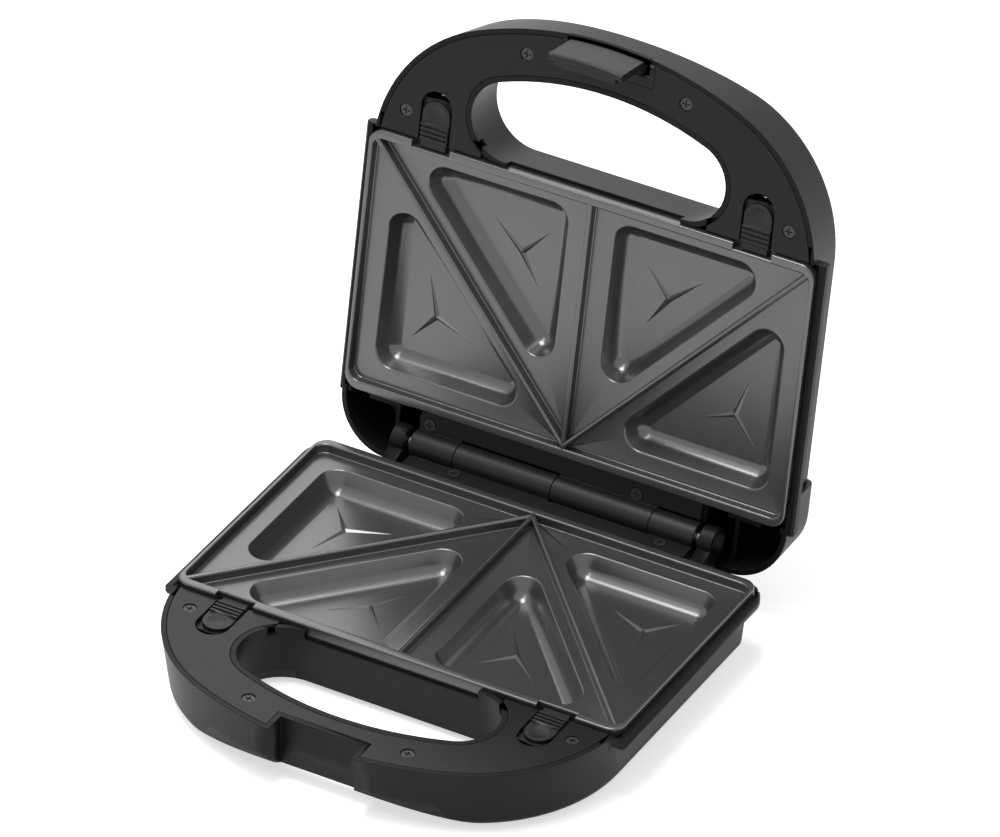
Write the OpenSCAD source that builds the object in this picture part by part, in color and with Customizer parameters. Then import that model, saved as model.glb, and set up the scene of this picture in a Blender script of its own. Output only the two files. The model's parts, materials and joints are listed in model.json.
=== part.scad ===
/* [Whole toaster] */
// Width of each cooking plate across its outer rim
plate_w = 220; // [195:1:245]
// Depth of each cooking plate, front to back
plate_d = 124.4; // [112:0.2:138]
// Distance the handle reaches in front of the plate
handle_reach = 71.2; // [64:0.2:78]
// Depth of one half shell from its parting face to its outer face
shell_depth = 31; // [28:0.5:36]
// Angle the lid stands open from closed
open_angle = 101.5; // [80:0.5:110]
// Gap between the two plate rims when the lid is closed
closed_gap = 1; // [0.6:0.1:2]
// Height of the rubber feet under the base
foot_h = 3; // [2:0.5:5]

/* [Handle shell] */
// Radius of the two front corners, which also sets the long curve between them
corner_r = 72; // [64:0.5:78]
// Wall thickness of the moulded shells
wall_t = 2.3; // [2:0.1:3]
// Radius of the rounded outer bottom edge
edge_round = 4.35; // [2.9:0.29:5.8]
// Radius of the curve that lifts the underside of the handle
lift_r = 41; // [38:1:60]
// Distance the raised bead stands out round the plate bay
bead_out = 4.7; // [3:0.1:6]

/* [Finger hole] */
// Width of the solid band in front of the finger hole
grip_w = 23.9; // [20:0.1:28]
// Draft of the wall round the finger hole, in degrees
draft = 7; // [3:0.5:9]
// Half width of the finger hole at the parting face
hole_half_w = 62.6; // [56:0.2:66]
// Distance from the plate front to the rear edge of the hole
hole_setback = 2.2; // [1.8:0.1:4]

/* [Cooking plates] */
// Depth of the flat land below the plate rim
land_drop = 4.5; // [3:0.1:5]
// Depth of each pocket below the land
pocket_depth = 9.5; // [8:0.1:11]
// Draft of the pocket walls, in degrees
pocket_draft = 25; // [15:1:35]
// Radius of the hollow between pocket wall and pocket floor
pocket_hollow = 6; // [4:0.1:7]
// Radius of the pocket corners
pocket_corner = 9; // [8.5:0.1:11]
// Metal thickness under the pockets
metal_t = 2; // [1.6:0.1:2.6]
// Height of the raised three-armed mark on each pocket floor
mark_h = 0.8; // [0.4:0.1:1.2]

/* [Hinge] */
// Radius of the hinge barrels
barrel_r = 6.5; // [5:0.1:7]
// Radius of the hinge pin
pin_r = 2.5; // [2:0.1:3]
// Half length of the hinge leaves
leaf_half_w = 70; // [62:1:72]
// Distance from the plate rear edge to the hinge axis
hinge_setback = 15.5; // [15:0.1:18]
// Running clearance between pin and moving barrel
run_gap = 0.05; // [0.03:0.01:0.1]

/* [Catches] */
// Width of the latch clip
clip_w = 36; // [30:1:38]
// Length the latch clip reaches past the parting face
clip_reach = 19.5; // [18:0.5:21]
// Width of each plate release slider
slider_w = 13.5; // [11:0.5:14]
// Distance of each release slider from the centre line
slider_x = 79.5; // [76:0.5:82]
// Travel of each release slider
slider_travel = 4.5; // [3.5:0.5:5]

/* [Small parts] */
// Radius of the heating rods
rod_r = 3.2; // [2.5:0.1:3.5]
// Radius of the feet
foot_r = 8; // [6:0.5:10]
// Radius of the screw heads
head_r = 2.8; // [2.4:0.1:3.2]

/* [Hidden] */
$fn = 96;

// Outline of one half, seen from the parting side
plate_x = plate_w / 2;
plate_y = plate_d / 2;
body_x = plate_x - 1;
front_y = -plate_y - handle_reach;
// The front curve meets the corner curves on a 5-12-13 line, so that the faces match exactly
tri = [5, 12, 13];
// The outer walls lean by 17 in 144, so that the rounded edge meets them at exact places
lean = [17, 144, 145];
inner_round = edge_round / 2;
// The hollow is drawn up to a level above the parting face, where it is wider by this much
hollow_top = 1;
hollow_inset = wall_t - snap((hollow_top + 2) * lean[0] / lean[1]);
corner_x = body_x - corner_r;
front_r = corner_r + corner_x * tri[2] / tri[0];
front_cy = front_y + front_r;
corner_cy = front_cy - corner_x * tri[1] / tri[0];
rear_r = 8.5;
rear_y = plate_y - 1.4;
rear_cy = rear_y - rear_r;

// Levels of one half, measured from the rim of its plate
face_z = -2;
ledge_z = -6.9;
bead_top_z = -3;
bead_low_z = -8;
cover_t = 2;
cover_gap = 0.3;
floor_z = -shell_depth;
inner_floor_z = floor_z + wall_t;
lift_y = -102;
lift_z = floor_z + lift_r;
lift_cut = 0.15;

// Rear skirt of the lid
skirt_x = plate_x + 1.5;
skirt_r = 26;
skirt_y = plate_y + 28.8;
skirt_cy = skirt_y - skirt_r;
skirt_start_y = plate_y - 12;

// Finger hole
hole_front_r = front_r - grip_w;
hole_rear_y = -plate_y - hole_setback;
hole_h = front_cy - hole_rear_y;
hole_a = pow(hole_front_r, 2) - pow(hole_h, 2) - pow(hole_half_w, 2);
hole_b = 2 * (hole_front_r + hole_h) - 2 * hole_half_w;
hole_end_r = (sqrt(pow(hole_b, 2) + 4 * hole_a) - hole_b) / 2;
hole_end_x = hole_half_w - hole_end_r;
hole_end_y = hole_rear_y - hole_end_r;
hole_turn = atan(hole_end_x / (front_cy - hole_end_y));

// Hinge and lid placing
hinge_y = plate_y + hinge_setback;
hinge_z = closed_gap / 2;
rim_z = foot_h + shell_depth;
reach_axis_y = lift_y - hinge_y;
reach_axis_z = hinge_z - lift_z;
lid_back_y = hinge_y + reach_axis_y * cos(open_angle) + reach_axis_z * sin(open_angle) + lift_r + lift_cut;
centre_y = (lid_back_y + front_y) / 2;

// Screws, catches and inner parts
slider_y = -plate_y - 0.1;
slider_round_y = slider_y - 13;
slider_play = 0.5;
slider_gap = 1;
slot_y = slider_round_y - slider_travel - slider_play + slider_gap;
cover_screws = [[-94.5, front_y + 59.4], [94.5, front_y + 59.4], [-39.1, front_y + 16.6], [39.1, front_y + 16.6]];
base_leaf_screws = [-46, 57];
lid_leaf_screws = [66, -38];
leaf_screw_y = plate_y + 6;
leaf_y = plate_y + 0.5;
leaf_top_z = -1.5;
leaf_t = 2;
block_x = leaf_half_w + 1.5;
block_y = plate_y + 9.8;
knuckle = 49;
segment_gap = 0.2;
notch_x = 20.5;
notch_y = front_y + 12;
clip_y = front_y + 2;
clip_t = 3.2;
pivot_y = front_y + 8.2;
pivot_z = -12;
tray_z = -24;
tray_t = 0.7;
tray_left = -96;
tray_right = 70;
tray_y = 48;
tray_posts = [[-86, -40], [-86, 40], [60, -40], [60, 40]];
pad_h = 0.85;
rod_z = tray_z + tray_t + pad_h + rod_r;
pocket_x_out = plate_x - 11.5;
pocket_x_in = 11;
pocket_y_front = -plate_y + 9.6;
pocket_y_rear = plate_y - 11.9;
ridge_gap = 6.5;
small = 0.01;
hair = 0.02;

// ---------- placing ----------

module in_base() {
    translate([0, -centre_y, rim_z]) children();
}

module in_lid() {
    translate([0, hinge_y - centre_y, rim_z + hinge_z])
        rotate([-open_angle, 0, 0])
            translate([0, -hinge_y, hinge_z])
                rotate([0, 180, 0])
                    children();
}

module both_sides() {
    children();
    mirror([1, 0, 0]) children();
}

// ---------- the outline of a half, carried round as exact pieces ----------

// Computed places are kept to a thousandth, so that neighbouring pieces match exactly
function snap(v) = round(v * 1000) / 1000;

// Half section from the axis out to len: leaning wall, rounded edge and floor; no edge gives an upright wall
module section(len, top, low, edge) {
    if (edge > 0) {
        k = edge / lean[2];
        cz = low + edge;
        cx = snap(len - (top - cz) * lean[0] / lean[1] - edge * lean[2] / lean[1]);
        foot = [cx + lean[1] * k, cz - lean[0] * k];
        far = [foot[0] + 0.3 * lean[0], foot[1] + 0.3 * lean[1]];
        intersection() {
            polygon([far, foot, [cx, cz], [cx, low], [0, low], [0, far[1]]]);
            translate([0, low]) square([len + 5, top - low]);
        }
        intersection() {
            translate([cx, cz]) circle(edge);
            translate([cx, low - 1]) square([edge + 1, edge + 1]);
        }
    } else {
        translate([0, low]) square([len, top - low]);
    }
}

// Solid of the handle outline, inset by the given amount
module half_solid(inset, top, low, edge) {
    intersection() {
        translate([0, front_cy, 0]) rotate_extrude($fn = 240) section(front_r - inset, top, low, edge);
        translate([0, front_cy, low - 1]) linear_extrude(top - low + 2)
            polygon([[0, 0], [-20 * tri[0], -20 * tri[1]], [20 * tri[0], -20 * tri[1]]]);
    }
    both_sides() {
        intersection() {
            translate([corner_x, corner_cy, 0]) rotate_extrude() section(corner_r - inset, top, low, edge);
            translate([corner_x, corner_cy, low - 1]) linear_extrude(top - low + 2)
                polygon([[0, 0], [8 * tri[0], -8 * tri[1]], [100, -8 * tri[1]], [100, 0]]);
        }
        translate([corner_x, rear_cy, 0]) rotate([90, 0, 0])
            linear_extrude(rear_cy - corner_cy) section(corner_r - inset, top, low, edge);
        translate([body_x - rear_r, rear_cy, 0])
            rotate_extrude(angle = 90) section(rear_r - inset, top, low, edge);
    }
    translate([rear_r - body_x, rear_cy, 0]) rotate([90, 0, 90])
        linear_extrude(2 * (body_x - rear_r)) section(rear_r - inset, top, low, edge);
    translate([0, 0, low]) linear_extrude(top - low)
        polygon([[corner_x, corner_cy], [corner_x, rear_cy], [-corner_x, rear_cy], [-corner_x, corner_cy],
            [0, front_cy]]);
}

// Solid of the rear skirt of the lid
module skirt_solid(inset, top, low, edge) {
    both_sides() {
        translate([skirt_x - skirt_r, skirt_cy, 0]) rotate([90, 0, 0])
            linear_extrude(skirt_cy - skirt_start_y) section(skirt_r - inset, top, low, edge);
        translate([skirt_x - skirt_r, skirt_cy, 0])
            rotate_extrude(angle = 90) section(skirt_r - inset, top, low, edge);
    }
    translate([skirt_r - skirt_x, skirt_cy, 0]) rotate([90, 0, 90])
        linear_extrude(2 * (skirt_x - skirt_r)) section(skirt_r - inset, top, low, edge);
    translate([skirt_r - skirt_x, skirt_start_y, low])
        cube([2 * (skirt_x - skirt_r), skirt_cy - skirt_start_y, top - low]);
}

// Solid of the finger hole, grown outwards, wider towards the underside
// (the front cone is a hair smaller than the ends, so that the faces cross cleanly)
module hole_solid(grow, top, low, lean) {
    wide_low = grow + tan(lean) * (face_z - low);
    wide_top = grow + tan(lean) * (face_z - top);
    far = 1.5 * front_r;
    ray = [far * sin(hole_turn), front_cy - far * cos(hole_turn)];
    both_sides()
        translate([hole_end_x, hole_end_y, low])
            cylinder(h = top - low, r1 = hole_end_r + wide_low, r2 = hole_end_r + wide_top);
    intersection() {
        translate([0, front_cy, low])
            cylinder(h = top - low, r1 = hole_front_r + wide_low - hair, r2 = hole_front_r + wide_top - hair, $fn = 240);
        translate([0, 0, low - 1]) linear_extrude(top - low + 2)
            polygon([[-hole_end_x, 0], [hole_end_x, 0], [hole_end_x, hole_end_y], ray, [-ray[0], ray[1]],
                [-hole_end_x, hole_end_y]]);
        translate([-far, 0, 0]) rotate([90, 0, 90]) linear_extrude(2 * far)
            polygon([[-far, low], [hole_rear_y + wide_low - hair, low], [hole_rear_y + wide_top - hair, top], [-far, top]]);
    }
}

// What the lifted underside of the handle leaves out
module lift_void(r) {
    difference() {
        translate([-body_x - 5, lift_y - 60, floor_z - 5]) cube([2 * body_x + 10, 60, lift_r + 5]);
        translate([-body_x - 9, lift_y, lift_z]) rotate([0, 90, 0]) cylinder(h = 2 * body_x + 18, r = r, $fn = 180);
    }
}

module box_at(x0, x1, y0, y1, z0, z1) {
    translate([x0, y0, z0]) cube([x1 - x0, y1 - y0, z1 - z0]);
}

// ---------- half shell ----------

module shell_posts() {
    for (p = cover_screws)
        translate([p[0], p[1], floor_z]) cylinder(h = -floor_z - 6, r = 3.6);
    for (p = tray_posts)
        translate([p[0], p[1], floor_z]) cylinder(h = tray_z - floor_z, r = 3.4);
    both_sides() {
        box_at(slider_x - 7.5, slider_x - 5.5, hole_rear_y - 26, -plate_y + 3, floor_z, -6.4);
        box_at(slider_x + 5.5, slider_x + 7.5, hole_rear_y - 26, -plate_y + 3, floor_z, -6.4);
        box_at(slider_x - 7.5, slider_x + 7.5, front_y + 35, front_y + 37.25, floor_z, -5);
        box_at(hole_half_w + 1, body_x - 3, -plate_y, -plate_y + 2, floor_z, ledge_z - 0.3);
    }
}

module bead(rear_bead) {
    inn = 1.6;
    pts = [[-bead_out, bead_low_z + 1], [-bead_out, bead_top_z - 1], [1 - bead_out, bead_top_z], [inn, bead_top_z],
        [inn, bead_low_z], [1 - bead_out, bead_low_z]];
    both_sides() {
        translate([body_x, rear_cy, 0]) rotate([90, 0, 0]) linear_extrude(rear_cy + plate_y + 0.8)
            mirror([1, 0]) polygon(pts);
        if (rear_bead) {
            translate([body_x - rear_r, rear_cy, 0]) rotate_extrude(angle = 90)
                translate([rear_r, 0]) mirror([1, 0]) polygon(pts);
            translate([block_x + 0.5, rear_y, 0]) rotate([90, 0, 90])
                linear_extrude(body_x - rear_r - block_x - 0.5) mirror([1, 0]) polygon(pts);
        } else {
            translate([body_x, rear_cy + rear_r + 4.5, 0]) rotate([90, 0, 0]) linear_extrude(rear_r + 4.5)
                mirror([1, 0]) polygon(pts);
            box_at(82, 98, rear_y - 1, plate_y + 3.3, bead_low_z - 4, bead_top_z);
        }
    }
}

module hinge_block(low) {
    difference() {
        box_at(-block_x, block_x, rear_y - 3, block_y, low, leaf_top_z - leaf_t);
        box_at(-block_x + wall_t, block_x - wall_t, rear_y, block_y - wall_t, low + wall_t, 0);
    }
}

module half_shell(rear_bead, leaf_screws) {
    difference() {
        union() {
            difference() {
                half_solid(0, face_z, floor_z, edge_round);
                lift_void(lift_r + lift_cut);
                difference() {
                    half_solid(hollow_inset, hollow_top, inner_floor_z, inner_round);
                    lift_void(lift_r + lift_cut - wall_t);
                    hole_solid(wall_t + 0.2, 2, floor_z - 1, draft);
                    box_at(-notch_x - wall_t, notch_x + wall_t, front_y - 5, notch_y + wall_t, floor_z - 1, 2);
                    shell_posts();
                }
            }
            bead(rear_bead);
            hinge_block(floor_z);
            for (x = leaf_screws)
                translate([x, leaf_screw_y, floor_z + 1]) cylinder(h = leaf_top_z - leaf_t - floor_z - 1, r = 3);
        }
        hole_solid(0, 2, floor_z - 2, draft);
        // bay for the plate
        box_at(-plate_x - 0.3, plate_x + 0.3, -plate_y - 0.3, plate_y + 0.3, ledge_z, 5);
        // lower sill behind the finger hole
        box_at(-43, 43, hole_rear_y - 2, -plate_y, -6.5, 5);
        box_at(55.5, body_x - wall_t - 0.2, -plate_y - 8, -plate_y, -6.3, 5);
        box_at(-body_x + wall_t + 0.2, -55.5, -plate_y - 8, -plate_y, -6.3, 5);
        // latch notch
        box_at(-notch_x, notch_x, front_y - 6, notch_y, floor_z - 2, 2);
        for (p = cover_screws)
            translate([p[0], p[1], -22]) cylinder(h = 20, r = 1.42);
        for (p = tray_posts)
            translate([p[0], p[1], tray_z - 5.5]) cylinder(h = 8, r = 1.22);
        for (x = leaf_screws)
            translate([x, leaf_screw_y, leaf_top_z - 14]) cylinder(h = 14, r = 1.42);
        both_sides()
            box_at(83.8, 96.2, plate_y - 1, plate_y + 2.7, -6.6, -4.3);
    }
}

module base_shell() {
    color([0.09, 0.09, 0.095]) in_base() difference() {
        union() {
            half_shell(true, base_leaf_screws);
            both_sides() hinge_cheek();
            translate([0, notch_y, 0]) box_at(-12, 12, -3.8, 0.5, -14.7, -12.5);
            translate([91, rear_y - 6, -19]) rotate([-90, 0, 0]) cylinder(h = 5.6, r = 8);
        }
        translate([91, rear_y - 12, -19]) rotate([-90, 0, 0]) cylinder(h = 20, r = 5.1);
        for (p = foot_spots())
            translate([p[0], p[1], floor_z - 1]) cylinder(h = wall_t + 3, r = 2.05);
    }
}

module hinge_cheek() {
    difference() {
        union() {
            translate([block_x + 2.4, hinge_y, hinge_z]) rotate([0, 90, 0]) cylinder(h = 6.6, r = 10.4);
            translate([block_x + 2.4, 0, 0]) rotate([90, 0, 90]) linear_extrude(6.6)
                polygon([[rear_y - 4, floor_z + 3], [rear_y + 3, floor_z + 3], [hinge_y - 2, -9.8], [hinge_y, -3],
                    [hinge_y - 6, 2.6], [plate_y + 0.6, -3.2], [plate_y + 0.6, ledge_z - 1], [rear_y - 4, ledge_z - 2.1]]);
        }
        translate([block_x + 4.4, hinge_y, hinge_z]) rotate([0, 90, 0]) cylinder(h = 6, r = 7.8);
    }
}

module lid_shell() {
    color([0.09, 0.09, 0.095]) in_lid() difference() {
        union() {
            half_shell(false, lid_leaf_screws);
            difference() {
                skirt_solid(0, face_z, floor_z, edge_round);
                skirt_solid(hollow_inset, hollow_top, inner_floor_z, inner_round);
                box_at(-plate_x + 4, plate_x - 4, skirt_start_y - 1, rear_y - 1, inner_floor_z, 2);
                box_at(-plate_x - 0.3, plate_x + 0.3, skirt_start_y - 1, plate_y + 0.3, ledge_z, 2);
            }
            both_sides() box_at(84, 86, rear_y - 1, skirt_y - 1, floor_z + 1, ledge_z - 0.1);
        }
        for (x = [-10, 10])
            translate([x, -50, floor_z - 1]) cylinder(h = wall_t + 2, r = 3.05);
        translate([-notch_x - wall_t - 1, pivot_y, pivot_z]) rotate([0, 90, 0])
            cylinder(h = 2 * (notch_x + wall_t) + 2, r = 1.3);
    }
}

// ---------- covers, sliders ----------

module half_cover() {
    difference() {
        union() {
            intersection() {
                half_solid(wall_t + cover_gap, face_z, face_z - cover_t, 0);
                box_at(-body_x - 5, body_x + 5, front_y - 5, -plate_y - 0.6, -30, 5);
            }
            for (p = cover_screws)
                translate([p[0], p[1], -6]) cylinder(h = 2.5, r = 3.8);
        }
        hole_solid(wall_t + 0.45, 2, -12, draft);
        box_at(-55.8, 55.8, -plate_y - 6, 0, -12, 2);
        box_at(-notch_x - wall_t - 0.2, notch_x + wall_t + 0.2, front_y - 5, notch_y + wall_t + 0.2, -12, 2);
        both_sides() {
            box_at(slider_x - slider_w / 2 - slider_gap, slider_x + slider_w / 2 + slider_gap, slot_y, 0, -12, 2);
            translate([slider_x, slot_y, -12]) cylinder(h = 14, r = slider_w / 2 + slider_gap);
        }
        for (p = cover_screws) {
            translate([p[0], p[1], -8]) cylinder(h = 10, r = 1.6);
            translate([p[0], p[1], -4.2]) cylinder(h = 6, r = head_r + 0.25);
        }
    }
}

// Thumb slider that holds the plate down with its nose
module slider(side) {
    y0 = slider_y;
    round_y = slider_round_y;
    translate([side * slider_x, 0, 0]) {
        difference() {
            union() {
                box_at(-slider_w / 2, slider_w / 2, round_y, y0, -4.6, -2.2);
                translate([0, round_y, -4.6]) cylinder(h = 2.4, r = slider_w / 2);
                box_at(-slider_w / 2 + 0.6, slider_w / 2 - 0.6, y0 - 1, y0 + 2.4, -4.6, -1.9);
                for (i = [0:3])
                    box_at(-slider_w / 2, slider_w / 2, y0 - 2.4 - 2.2 * i, y0 - 1.2 - 2.2 * i, -2.5, -1.3);
            }
            translate([0, round_y - 0.8, 14.2]) sphere(17);
        }
        box_at(-9, 9, y0 - 20, y0 - 1.2, -6.3, -4.3);
        box_at(-2.6, 2.6, y0 - 20.25, y0 - 17.6, -13, -4.5);
    }
}

// Coil drawn as half rings that meet face to face
module coil(r, wire, pitch, turns) {
    tilt = atan(pitch / 4 / r);
    for (i = [0:2 * turns - 1])
        translate([0, 0, pitch / 4 + i * pitch / 2]) rotate([0, 0, 180 * i]) rotate([0, tilt, 0])
            rotate_extrude(angle = 180) translate([r / cos(tilt), 0]) circle(wire, $fn = 24);
}

module slider_springs() {
    tail_y = -plate_y - 20.4;
    seat_y = front_y + 37.3;
    turns = 7;
    wire = 0.4;
    pitch = floor(100 * (tail_y - seat_y - 2 * wire) / turns) / 100;
    for (s = [-1, 1])
        translate([s * slider_x, seat_y + wire, -9.6]) rotate([-90, 0, 0]) rotate([0, 0, 90])
            coil(2.4, wire, pitch, turns);
}

// ---------- plates ----------

// Pocket outline as three corner centres, counter-clockwise
function ridge_slope() = (plate_d - 12.2) / (plate_x - 6);
function outer_pocket(r) = let (
    xl = -pocket_x_out + r,
    yt = pocket_y_rear - r,
    xr = cross_x(yt, ridge_gap + r),
    yb = diag_y(xl, ridge_gap + r)
) [[xl, yb], [xr, yt], [xl, yt]];
function inner_pocket(r) = let (
    xr = -pocket_x_in - r,
    yb = pocket_y_front + r,
    yt = diag_y(xr, -ridge_gap - r),
    xl = cross_x(yb, -ridge_gap - r)
) [[xl, yb], [xr, yb], [xr, yt]];
function diag_y(x, off) = -plate_y + 7.2 + (x + plate_x - 6) * ridge_slope() + off * sqrt(1 + pow(ridge_slope(), 2));
function cross_x(y, off) = (y + plate_y - 7.2 - off * sqrt(1 + pow(ridge_slope(), 2))) / ridge_slope() - plate_x + 6;

// Pocket section from back out to len: wall with draft, then the shallower hollow down to the floor
module pocket_section(len, top, low, back = 0) {
    mid = low + 0.45 * pocket_hollow;
    x1 = snap(len - tan(pocket_draft) * (top - mid));
    polygon([[len, top], [x1, mid], [x1 - 0.75 * pocket_hollow, low], [back, low], [back, top]]);
}

// A pocket drawn as round corners, straight sides and a middle
module pocket(c, r, top, low) {
    for (i = [0:2]) {
        p = c[i];
        q = c[(i + 1) % 3];
        translate([p[0], p[1], 0]) rotate_extrude() pocket_section(r, top, low);
        translate([p[0], p[1], 0]) rotate([0, 0, atan2(q[1] - p[1], q[0] - p[0])]) rotate([90, 0, 90])
            linear_extrude(norm([q[0] - p[0], q[1] - p[1]])) mirror([1, 0]) pocket_section(r - hair, top, low, -1);
    }
    translate([0, 0, low]) linear_extrude(top - low) polygon(c);
}

module pocket_mark(at, ends, z) {
    for (e = ends) {
        a = atan2(e[1], e[0]);
        translate([at[0], at[1], z]) rotate([0, 0, a]) linear_extrude(mark_h)
            polygon([[-0.6, -1.5], [0.6, -1.5], [norm(e), 0], [0.6, 1.5], [-0.6, 1.5]]);
    }
}

module cooking_plate() {
    edge_r = 7;
    floor_p = -land_drop - pocket_depth;
    wide = pocket_corner + metal_t * 0.9;
    difference() {
        union() {
            plate_slab(edge_r, 0, ledge_z);
            both_sides() {
                pocket(outer_pocket(pocket_corner), wide, -land_drop - 1, floor_p - metal_t);
                pocket(inner_pocket(pocket_corner), wide, -land_drop - 1, floor_p - metal_t);
                box_at(84, 96, plate_y - 2, plate_y + 2.4, -6.4, -4.6);
            }
        }
        difference() {
            plate_land(edge_r - 2, small, -land_drop);
            ridges();
        }
        both_sides() {
            pocket(outer_pocket(pocket_corner), pocket_corner, -land_drop + 0.5, floor_p);
            pocket(inner_pocket(pocket_corner), pocket_corner, -land_drop + 0.5, floor_p);
            box_at(slider_x - 9.5, slider_x + 9.5, -plate_y - 1, -plate_y + 2.9, -4.9, 5);
        }
    }
    both_sides() {
        pocket_mark([-74.5, plate_y - 39.5], [[-12, 13.5], [-6, -20], [19.5, 7.7]], floor_p - small);
        pocket_mark([-36.5, plate_y - 82.5], [[-16, -13], [10, 15], [13, -13.5]], floor_p - small);
    }
}

module plate_slab(r, top, low) {
    both_sides() {
        translate([plate_x - r, plate_y - r, low]) cylinder(h = top - low, r = r);
        translate([plate_x - r, r - plate_y, low]) cylinder(h = top - low, r = r);
    }
    box_at(-plate_x, plate_x, r - plate_y, plate_y - r, low, top);
    box_at(r - plate_x, plate_x - r, -plate_y, plate_y, low, top);
}

module plate_land(r, top, low) {
    x = plate_x - 2;
    y = plate_y - 4.2;
    both_sides() {
        translate([x - r, y - r, low]) cylinder(h = top - low, r = r);
        translate([x - r, r - y, low]) cylinder(h = top - low, r = r);
    }
    box_at(-x, x, r - y, y - r, low, top);
    box_at(r - x, x - r, -y, y, low, top);
}

module ridges() {
    rear = plate_y - 5;
    box_at(-1.2, 1.2, -plate_y, plate_y, -land_drop - 1, 0);
    both_sides() {
        p = [6 - plate_x, 7.2 - plate_y];
        a = atan(ridge_slope());
        translate([p[0], p[1], -land_drop - 1]) rotate([0, 0, a])
            translate([-6, -1.2, 0]) cube([norm([plate_x - 6, plate_d - 12.2]) + 4, 2.4, land_drop + 1]);
    }
}

// ---------- heating ----------

module reflector() {
    difference() {
        box_at(tray_left, tray_right, -tray_y, tray_y, tray_z, tray_z + 6);
        box_at(tray_left + tray_t, tray_right - tray_t, tray_t - tray_y, tray_y - tray_t, tray_z + tray_t, tray_z + 7);
        for (p = tray_posts)
            translate([p[0], p[1], tray_z - 1]) cylinder(h = 4, r = 1.5);
        for (y = [-30, 30])
            box_at(tray_right - 5, tray_right + 5, y - rod_r - 1, y + rod_r + 1, tray_z + tray_t + 0.6, tray_z + 9);
    }
    for (x = [-60, 0, 50])
        for (y = [-30, 30])
            box_at(x - 3, x + 3, y - 4, y + 4, tray_z + tray_t - small, tray_z + tray_t + pad_h);
}

module heater() {
    run = 30;
    translate([0, 0, rod_z]) {
        translate([-52, 0, 0]) rotate([0, 0, 90]) rotate_extrude(angle = 180) translate([run, 0]) circle(rod_r);
        for (s = [-1, 1]) {
            translate([-52, s * run, 0]) rotate([0, 90, 0]) cylinder(h = 128, r = rod_r);
            translate([75, s * run, 0]) rotate([0, 90, 0]) cylinder(h = 3.5, r = rod_r - 0.5);
            translate([78, s * run, 0]) rotate([0, 90, 0]) cylinder(h = 8, r = 1.2);
        }
    }
}

module tray_screws() {
    for (p = tray_posts)
        translate([p[0], p[1], tray_z + tray_t]) screw(2.2, 1.3, 1.2, 5.4);
}

// Screw standing on its seat, head up, with a cross recess
module screw(head, head_h, shank, len) {
    difference() {
        union() {
            cylinder(h = head_h, r = head);
            translate([0, 0, -len]) cylinder(h = len + head_h / 2, r = shank);
        }
        translate([0, 0, head_h]) cube([head * 1.2, 0.7, 1.4], center = true);
        translate([0, 0, head_h]) cube([0.7, head * 1.2, 1.4], center = true);
    }
}

module cover_screw_set() {
    for (p = cover_screws)
        translate([p[0], p[1], -4.2]) screw(head_r, 1.7, 1.4, 10);
}

// ---------- hinge ----------

// One leaf: flat flange and two barrel pieces, given as [from, to] along the axis
module hinge_leaf(parts, bore, screws) {
    difference() {
        union() {
            box_at(-leaf_half_w, leaf_half_w, leaf_y, hinge_y - barrel_r - 0.6, leaf_top_z - leaf_t, leaf_top_z);
            for (p = parts) {
                box_at(p[0], p[1], leaf_y + 2, hinge_y - pin_r - 1, leaf_top_z - leaf_t, leaf_top_z);
                translate([p[0], hinge_y, hinge_z]) rotate([0, 90, 0]) cylinder(h = p[1] - p[0], r = barrel_r);
            }
        }
        translate([-leaf_half_w - 5, hinge_y, hinge_z]) rotate([0, 90, 0])
            cylinder(h = 2 * leaf_half_w + 10, r = bore);
        for (x = screws) {
            translate([x, leaf_screw_y, -10]) cylinder(h = 12, r = 1.6);
            translate([x, leaf_screw_y, leaf_top_z - 0.9]) cylinder(h = 12, r = head_r + 0.2);
        }
    }
}

module base_leaf() {
    hinge_leaf([[segment_gap - knuckle, -segment_gap], [knuckle + segment_gap, leaf_half_w + 1]], pin_r + 0.02,
        base_leaf_screws);
}

module lid_leaf() {
    hinge_leaf([[segment_gap - knuckle, -segment_gap], [knuckle + segment_gap, leaf_half_w + 1]], pin_r + run_gap,
        lid_leaf_screws);
}

module leaf_screw_set(screws) {
    for (x = screws)
        translate([x, leaf_screw_y, leaf_top_z - 0.9]) screw(head_r, 1.2, 1.4, 10);
}

module hinge_pin() {
    color([0.6, 0.6, 0.62]) in_base() {
        translate([-block_x - 2, hinge_y, hinge_z]) rotate([0, 90, 0]) cylinder(h = 2 * block_x + 4, r = pin_r);
    }
}

// ---------- base only ----------

function foot_spots() = [[-84, -80], [84, -80], [-84, plate_y - 14], [84, plate_y - 14]];

module feet() {
    color([0.06, 0.06, 0.06]) in_base() for (p = foot_spots())
        translate([p[0], p[1], floor_z]) {
            translate([0, 0, -foot_h]) cylinder(h = foot_h, r1 = foot_r - 1, r2 = foot_r);
            cylinder(h = wall_t + 2, r = 2);
        }
}

module thermostat() {
    color([0.75, 0.73, 0.68]) in_base() {
        translate([0, -20, ledge_z - 5.7]) cylinder(h = 5.6, r = 6.5);
        translate([0, -20, tray_z + tray_t]) cylinder(h = ledge_z - 5.7 - tray_z - tray_t + small, r = 2.5);
    }
}

module thermal_fuse() {
    color([0.7, 0.66, 0.6]) in_base() {
        translate([-8, 4, tray_z + tray_t + 2.05]) rotate([0, 90, 0]) cylinder(h = 16, r = 2);
        translate([-14, 4, tray_z + tray_t + 2.05]) rotate([0, 90, 0]) cylinder(h = 28, r = 0.5);
    }
}

module terminal_block() {
    color([0.85, 0.83, 0.78]) in_base() difference() {
        box_at(82, 96, -24, 24, inner_floor_z, -17.5);
        for (y = [-18, -6, 6, 18]) {
            translate([89, y, -21]) cylinder(h = 6, r = 2.4);
            translate([80, y, -24]) rotate([0, 90, 0]) cylinder(h = 18, r = 1.6);
        }
    }
}

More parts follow.
